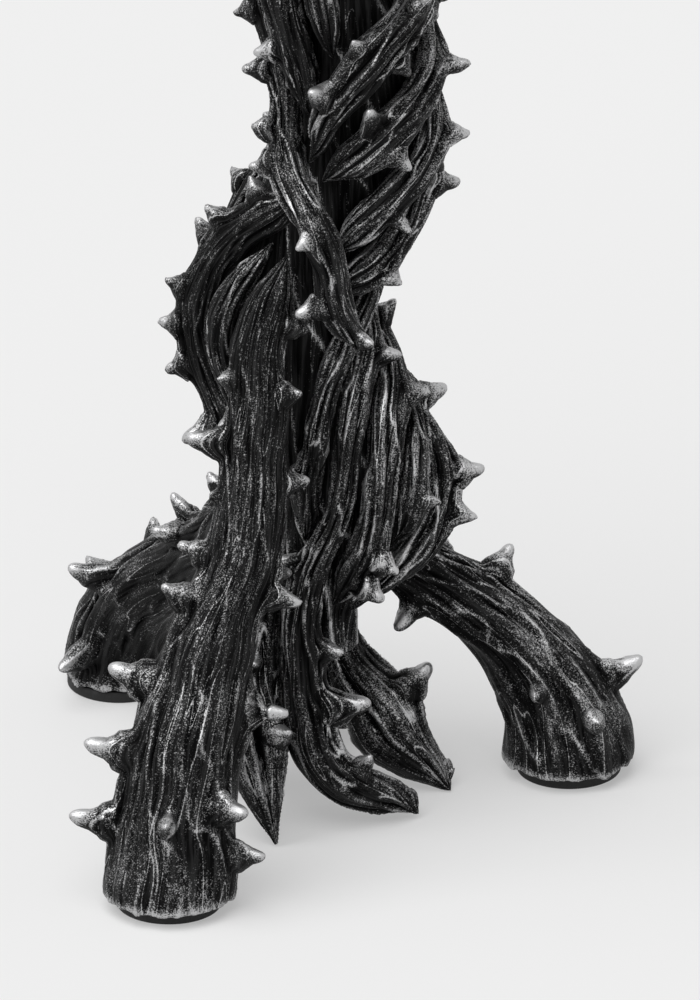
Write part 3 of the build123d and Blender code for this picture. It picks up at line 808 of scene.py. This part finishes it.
def feed(tree, node, sockets):
    """Sets sockets of a node to values or links them to other nodes."""
    for name, value in sockets.items():
        if isinstance(value, bpy.types.NodeSocket):
            tree.links.new(value, node.inputs[name])
        else:
            node.inputs[name].default_value = value


def put(tree, kind, sockets=None, **settings):
    """A node with its settings and its sockets."""
    node = tree.nodes.new(kind)
    for name, value in settings.items():
        setattr(node, name, value)
    feed(tree, node, sockets or {})
    return node


def new_finish(name):
    """An empty material, its tree and its main shader."""
    material = bpy.data.materials.new(name)
    material.use_nodes = True
    tree = material.node_tree
    return material, tree, tree.nodes["Principled BSDF"]


def object_place(tree):
    """Places on the object."""
    return put(tree, "ShaderNodeTexCoord").outputs["Object"]


def attribute(tree, name, output="Fac"):
    """A value kept at the vertices."""
    return put(tree, "ShaderNodeAttribute", attribute_name=name).outputs[output]


def scaled(tree, where, scale):
    """Places with each direction scaled; a small scale draws a pattern out."""
    return put(tree, "ShaderNodeMapping", {"Vector": where, "Scale": scale}).outputs["Vector"]


def noise_at(tree, where, size, detail=2.0, roughness=0.55):
    """Noise with grains of the given size, from 0 to 1."""
    sockets = {"Vector": where, "Scale": 1 / size, "Detail": detail, "Roughness": roughness}
    return put(tree, "ShaderNodeTexNoise", sockets).outputs["Fac"]


def maths(tree, operation, *values):
    """The result of a calculation with numbers and sockets."""
    return put(tree, "ShaderNodeMath", dict(enumerate(values)), operation=operation).outputs[0]


def weighed(tree, start, *terms):
    """A number plus sockets times their weights."""
    level = start
    for socket, weight in terms:
        level = maths(tree, "MULTIPLY_ADD", socket, weight, level)
    return level


def stepped(tree, value, low, high):
    """A soft step from 0 at low to 1 at high."""
    sockets = {"Value": value, "From Min": low, "From Max": high}
    return put(tree, "ShaderNodeMapRange", sockets, interpolation_type="SMOOTHSTEP").outputs["Result"]


def ranged(tree, share, first, second, start=0.0):
    """A number between two numbers: the first where the share is at its start, the second where it is 1."""
    sockets = {"Value": share, "From Min": start, "To Min": first, "To Max": second}
    return put(tree, "ShaderNodeMapRange", sockets).outputs["Result"]


def mixed(tree, share, first, second):
    """A colour between two colours."""
    sockets = {0: share, 6: (*first, 1), 7: (*second, 1)}
    return put(tree, "ShaderNodeMix", sockets, data_type="RGBA").outputs[2]


def bumped(tree, height, depth, strength=1.0):
    """Directions of a surface with fine relief."""
    sockets = {"Strength": strength, "Distance": depth, "Height": height}
    return put(tree, "ShaderNodeBump", sockets).outputs["Normal"]


def vein_lines(tree, level, width):
    """Thin lines where a noise passes its middle value."""
    away = maths(tree, "ABSOLUTE", maths(tree, "SUBTRACT", level, 0.5))
    return stepped(tree, away, width, 0.0)


def dusted(tree, silver, haze, share):
    """Silver with a faint dusting where there is none."""
    faint = maths(tree, "MULTIPLY", haze, maths(tree, "SUBTRACT", 1.0, silver))
    return maths(tree, "MULTIPLY_ADD", faint, share, silver)


def painted(tree, shader, colours, silver, bump, depth, sheen):
    """Satin black with silver where the brush touched, and on the bark also where painted light from above falls.
    """
    feed(tree, shader, {
        "Base Color": mixed(tree, silver, colours.black, colours.silver),
        "Metallic": ranged(tree, silver, 0.0, SILVER_METAL),
        "Roughness": ranged(tree, silver, BLACK_ROUGHNESS, SILVER_ROUGHNESS),
        "Specular IOR Level": sheen,
        "Normal": bumped(tree, bump, depth),
    })


def bark_finish(name, colours):
    """Black bark with silver dry-brushed on edges, ridges, thorns and rims, in specks and thin lines; more silver
    on upward faces as painted light from above, and less sheen in hollows as painted shade.
    """
    material, tree, shader = new_finish(name)
    place = object_place(tree)
    flow = attribute(tree, "flow", "Vector")
    long_flow = scaled(tree, flow, (0.07, 1, 1))
    short_flow = scaled(tree, flow, (0.25, 1, 1))
    fine_flow = scaled(tree, flow, (0.05, 1, 1))
    streak = noise_at(tree, long_flow, size=0.0008, detail=3.0, roughness=0.6)
    line = vein_lines(tree, noise_at(tree, long_flow, size=0.0024, detail=1.0), width=0.010)
    speck = noise_at(tree, place, size=0.00026, roughness=0.7)
    dash = noise_at(tree, short_flow, size=0.00030, roughness=0.7)
    patch = noise_at(tree, place, size=0.009)
    relief = attribute(tree, "relief")
    # Silver share: brush on relief, edges, thorns and noise patterns; painted light from above on upward faces,
    # and on the core painted shade among the vines.
    amount = weighed(
        tree, BARE_BARK, (relief, 0.40), (attribute(tree, "crest"), 1.0), (attribute(tree, "tip"), 0.95),
        (attribute(tree, "painted_top_light_and_height"), 0.40), (streak, 1.3), (line, 0.75), (speck, 3.2), (dash, 1.2), (patch, 1.2))
    haze = stepped(tree, noise_at(tree, fine_flow, size=0.0005, roughness=0.6), low=0.42, high=0.72)
    silver = dusted(tree, stepped(tree, amount, low=-0.3, high=0.75), haze, share=0.045)
    bump = weighed(tree, 0.0, (streak, 1.0), (haze, 0.3), (speck, 0.3))
    # Sheen falls to nothing in the hollows: painted shade in the creases.
    sheen = ranged(tree, relief, 0.0, 0.16, start=-0.5)
    painted(tree, shader, colours, silver, bump, depth=0.00025, sheen=sheen)
    return material


def iron_finish(colours):
    """Black painted iron, rubbed silver at its edges and on the high spots."""
    material, tree, shader = new_finish("rubbed_iron")
    place = object_place(tree)
    speck = noise_at(tree, place, size=0.00030, roughness=0.7)
    patch = noise_at(tree, place, size=0.009)
    amount = weighed(tree, BARE_IRON, (attribute(tree, "relief"), 1.1), (speck, 3.0), (patch, 1.5))
    silver = stepped(tree, amount, low=0.30, high=0.85)
    bump = weighed(tree, 0.0, (noise_at(tree, place, size=0.0012), 1.0), (speck, 0.4))
    painted(tree, shader, colours, silver, bump, depth=0.0002, sheen=0.25)
    return material


def steel_finish(name, colour, roughness):
    """Turned steel with fine marks around and slight stains."""
    material, tree, shader = new_finish(name)
    place = object_place(tree)
    marks = noise_at(tree, scaled(tree, place, (0.05, 0.05, 1)), size=0.00025, detail=3.0, roughness=0.7)
    stain = stepped(tree, noise_at(tree, place, size=0.006, detail=3.0), low=0.35, high=0.65)
    feed(tree, shader, {
        "Base Color": mixed(tree, stain, colour, [STAIN_SHADE * part for part in colour]),
        "Metallic": 1.0,
        "Roughness": ranged(tree, marks, roughness - MARK_ROUGHNESS, roughness + MARK_ROUGHNESS),
        "Normal": bumped(tree, marks, depth=0.00006, strength=0.4),
    })
    return material


def rubber_finish(colours):
    """Matt black rubber with a fine moulded grain and dust."""
    material, tree, shader = new_finish("pad_rubber")
    place = object_place(tree)
    grain = noise_at(tree, place, size=0.0004, detail=3.0)
    dust = stepped(tree, noise_at(tree, place, size=0.004, detail=4.0), low=0.55, high=0.8)
    feed(tree, shader, {
        "Base Color": mixed(tree, dust, colours.rubber, [DUST_SHADE * part for part in colours.rubber]),
        "Roughness": ranged(tree, grain, 0.6, 0.85),
        "Normal": bumped(tree, grain, depth=0.0001, strength=0.5),
    })
    return material


def seen_directly(tree):
    """1 for what the camera sees, also in a mirror or through glass."""
    path = put(tree, "ShaderNodeLightPath").outputs
    seen = maths(tree, "MAXIMUM", path["Is Camera Ray"], path["Is Glossy Ray"])
    return maths(tree, "MAXIMUM", seen, path["Is Transmission Ray"])


def floor_finish(stage):
    """Even pale floor with a light shadow."""
    material, tree, shader = new_finish("pale_floor")
    colour = (*stage.floor, 1)
    feed(tree, shader, {"Base Color": colour, "Roughness": 1.0, "Specular IOR Level": 0.0})
    glow = put(tree, "ShaderNodeEmission", {"Color": colour, "Strength": 1.0}).outputs[0]
    share = ranged(tree, seen_directly(tree), 0.0, stage.shadow_relief)
    both = put(tree, "ShaderNodeMixShader", {0: share, 1: shader.outputs[0], 2: glow}).outputs[0]
    tree.links.new(both, tree.nodes["Material Output"].inputs["Surface"])
    return material


# Operators

class STAND_OT_stems(bpy.types.Operator):
    """Legs, vines and roots with bark and thorns"""

    bl_idname = "stand.stems"
    bl_label = "Thorny Stems"

    def execute(self, context):
        material = bark_finish("dry_brushed_bark", context.scene.stand_colours)
        for seed, node in enumerate(STEMS):
            piece = bark_skin(node, seed, context.scene.stand_stems)
            dressed(piece, node, material)
        return {"FINISHED"}


class STAND_OT_core(bpy.types.Operator):
    """Core between the vines, with long folds in its bark"""

    bl_idname = "stand.core"
    bl_label = "Trunk Core"

    def execute(self, context):
        piece = skin_of("trunk_core", CORE_GRAIN)
        mesh = piece.data
        points = calmed(mesh, CORE_PASSES)
        height = points[:, 2]
        offset = points[:, :2] - ROD_SPOT[:2]
        reach = np.linalg.norm(offset, axis=1)
        flow = np.column_stack([height, offset * (CORE_RADIUS / np.maximum(reach, CORE_AXIS))[:, None]])
        folds = self.folds(points, offset)
        wall = ramp(reach, *CORE_WALL)
        wall *= ramp(np.minimum(height - height.min(), height.max() - height), *CORE_END)
        swollen = points + normals_of(mesh) * [1, 1, 0] * (self.swell(points, flow, folds) * wall)[:, None]
        tight = drawn_in(swollen, context.scene.stand_stems)
        set_points(mesh, swollen + (tight - swollen) * wall[:, None])
        store(mesh, "relief", relief_of(mesh, CORE_RELIEF_PASSES))
        store(mesh, "crest", (1 - folds) ** EDGE_SHARPNESS)
        store(mesh, "flow", flow)
        # Silver share on the core: more on upward faces as painted light from above, less among the vines as
        # painted shade.
        store(mesh, "painted_top_light_and_height", normals_of(mesh)[:, 2] - CORE_PAINTED_SHADE * ramp(height, *CORE_AMONG))
        dressed(piece, "trunk_core", bark_finish("core_bark", context.scene.stand_colours))
        return {"FINISHED"}

    def folds(self, points, offset):
        """The folds that wind up the core, 0 at their edges and 1 in their hollows."""
        angle = np.arctan2(offset[:, 1], offset[:, 0]) + points[:, 2] / FOLD_TURN
        wander = rumble(points / [1, 1, FOLD_STRETCH], FOLD_SIZE)
        return np.abs(np.sin(FOLDS * angle + FOLD_WANDER * wander))

    def swell(self, points, flow, folds):
        """How far the wall of the core is moved out."""
        height = points[:, 2]
        fill = CORE_FILL * ramp(height, *CORE_AMONG) - CORE_LOSS * ramp(height, *CORE_BELOW)
        lumps = CORE_LUMP * rumble(points / [1, 1, CORE_LUMP_STRETCH], CORE_LUMP_SIZE)
        ridged = CORE_RIDGE * ridges(flow / [CORE_RIDGE_STRETCH, 1, 1], CORE_RIDGE_SIZE)
        return fill - FOLD_DEPTH * folds + lumps + ridged


class STAND_OT_pads(bpy.types.Operator):
    """Rubber pads under the legs, with a rounded rim and a shallow dish below"""

    bl_idname = "stand.pads"
    bl_label = "Rubber Pads"

    def execute(self, context):
        material = rubber_finish(context.scene.stand_colours)
        for node in PADS:
            low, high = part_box(node)
            piece = self.pad(node, (low + high) / 2, (high.x - low.x) / 2, high.z)
            dressed(piece, node, material)
        return {"FINISHED"}

    def pad(self, node, middle, radius, height):
        """One pad, turned from its outline."""
        shape = bmesh.new()
        corners = [shape.verts.new((radius * out, 0, height * up)) for out, up in PAD_OUTLINE]
        sides = [shape.edges.new(pair) for pair in zip(corners, corners[1:])]
        bmesh.ops.spin(
            shape, geom=corners + sides, cent=(0, 0, 0), axis=(0, 0, 1), angle=radians(360), steps=PAD_STEPS,
            use_merge=True)
        bmesh.ops.remove_doubles(shape, verts=shape.verts, dist=PAD_WELD)
        bmesh.ops.recalc_face_normals(shape, faces=shape.faces)
        rims = [edge for edge in shape.edges if edge.calc_face_angle(0) > PAD_EDGE]
        bmesh.ops.bevel(
            shape, geom=rims, offset=height * PAD_ROUNDING, segments=PAD_SEGMENTS, profile=0.5,
            affect="EDGES", material=-1)
        bmesh.ops.translate(shape, verts=shape.verts, vec=(middle.x, middle.y, 0))
        mesh = bpy.data.meshes.new(node + "_rubber")
        write_shape(shape, mesh)
        return placed(node + "_rubber", mesh)


class STAND_OT_ironwork(bpy.types.Operator):
    """Drip pan and collar in hammered iron"""

    bl_idname = "stand.ironwork"
    bl_label = "Pan and Collar"

    def execute(self, context):
        material = iron_finish(context.scene.stand_colours)
        for node, grain in IRON_GRAINS.items():
            piece = skin_of(node, grain)
            mesh = piece.data
            points = calmed(mesh, IRON_PASSES)
            dents = DENT_DEPTH * rumble(points, DENT_SIZE)
            set_points(mesh, points + normals_of(mesh) * dents[:, None])
            store(mesh, "relief", relief_of(mesh))
            dressed(piece, node, material)
        return {"FINISHED"}


class STAND_OT_steelwork(bpy.types.Operator):
    """Pricket spike, tie rod, washer and nut in steel"""

    bl_idname = "stand.steelwork"
    bl_label = "Spike and Fasteners"

    def execute(self, context):
        colours = context.scene.stand_colours
        spike = skin_of("pricket_spike", SPIKE_GRAIN)
        calmed(spike.data, SPIKE_PASSES)
        dressed(spike, "pricket_spike", steel_finish("spike_steel", colours.steel, roughness=0.34))
        zinc = steel_finish("zinc_steel", colours.steel, roughness=0.42)
        for node in FASTENERS:
            frame["nodes"][node].data.materials.clear()
            frame["nodes"][node].data.materials.append(zinc)
        return {"FINISHED"}


class STAND_OT_stage(bpy.types.Operator):
    """Pale floor, soft light and the camera"""

    bl_idname = "stand.stage"
    bl_label = "Stage"

    def execute(self, context):
        stage = context.scene.stand_stage
        self.floor(stage)
        self.sky(context.scene, stage)
        self.key_light(stage)
        self.camera(context.scene, stage)
        context.scene.view_settings.view_transform = "Standard"
        return {"FINISHED"}

    def floor(self, stage):
        """The floor under the stand."""
        shape = bmesh.new()
        bmesh.ops.create_grid(shape, x_segments=1, y_segments=1, size=stage.floor_size)
        mesh = bpy.data.meshes.new("floor")
        write_shape(shape, mesh)
        mesh.materials.append(floor_finish(stage))
        placed("floor", mesh)

    def sky(self, scene, stage):
        """Even light from all around, seen as the colour of the floor."""
        world = bpy.data.worlds.new("studio")
        world.use_nodes = True
        scene.world = world
        tree = world.node_tree
        strength = ranged(tree, seen_directly(tree), stage.sky, stage.floor[0])
        feed(tree, tree.nodes["Background"], {"Color": (1, 1, 1, 1), "Strength": strength})

    def key_light(self, stage):
        """The wide soft light, even over the whole floor."""
        light = bpy.data.lights.new("key_light", "SUN")
        light.angle = stage.softness
        light.energy = stage.key
        placed("key_light", light).rotation_euler = (-KEY_FROM).to_track_quat("-Z", "Y").to_euler()

    def camera(self, scene, stage):
        """The camera in front of the stand, looking down at its lower part."""
        aim = Vector((ROD_AXIS.x + stage.aim_x, ROD_AXIS.y, stage.aim_z))
        back = Vector((0, -cos(stage.elevation), sin(stage.elevation)))
        lens = bpy.data.cameras.new("photo_camera")
        lens.sensor_width = SENSOR_SIDE
        lens.lens = SENSOR_SIDE * stage.distance / (stage.pixel * PICTURE_SIDE)
        lens.clip_end = 4 * stage.floor_size
        camera = placed("photo_camera", lens)
        camera.location = aim + back * stage.distance
        camera.rotation_euler = (-back).to_track_quat("-Z", "Y").to_euler()
        scene.camera = camera


OPERATORS = (
    STAND_OT_stems, STAND_OT_core, STAND_OT_pads, STAND_OT_ironwork, STAND_OT_steelwork, STAND_OT_stage,
)


class STAND_PT_panel(bpy.types.Panel):
    """The stand's pieces, sizes and colours"""

    bl_idname = "STAND_PT_panel"
    bl_label = "Candle Stand"
    bl_space_type = "VIEW_3D"
    bl_region_type = "UI"
    bl_category = "Candle Stand"

    def draw(self, context):
        for operator in OPERATORS:
            self.layout.operator(operator.bl_idname)
        for group in ("stand_stems", "stand_colours", "stand_stage"):
            settings = getattr(context.scene, group)
            for name in settings.__annotations__:
                self.layout.prop(settings, name)


CLASSES = (StemSizes, FinishColours, StageSettings, *OPERATORS, STAND_PT_panel)


def register():
    for item in CLASSES:
        bpy.utils.register_class(item)
    bpy.types.Scene.stand_stems = PointerProperty(type=StemSizes)
    bpy.types.Scene.stand_colours = PointerProperty(type=FinishColours)
    bpy.types.Scene.stand_stage = PointerProperty(type=StageSettings)


def unregister():
    del bpy.types.Scene.stand_stage
    del bpy.types.Scene.stand_colours
    del bpy.types.Scene.stand_stems
    for item in reversed(CLASSES):
        bpy.utils.unregister_class(item)


def main():
    register()
    bpy.ops.stand.stems()
    bpy.ops.stand.core()
    bpy.ops.stand.pads()
    bpy.ops.stand.ironwork()
    bpy.ops.stand.steelwork()
    bpy.ops.stand.stage()


if __name__ == "__main__":
    main()
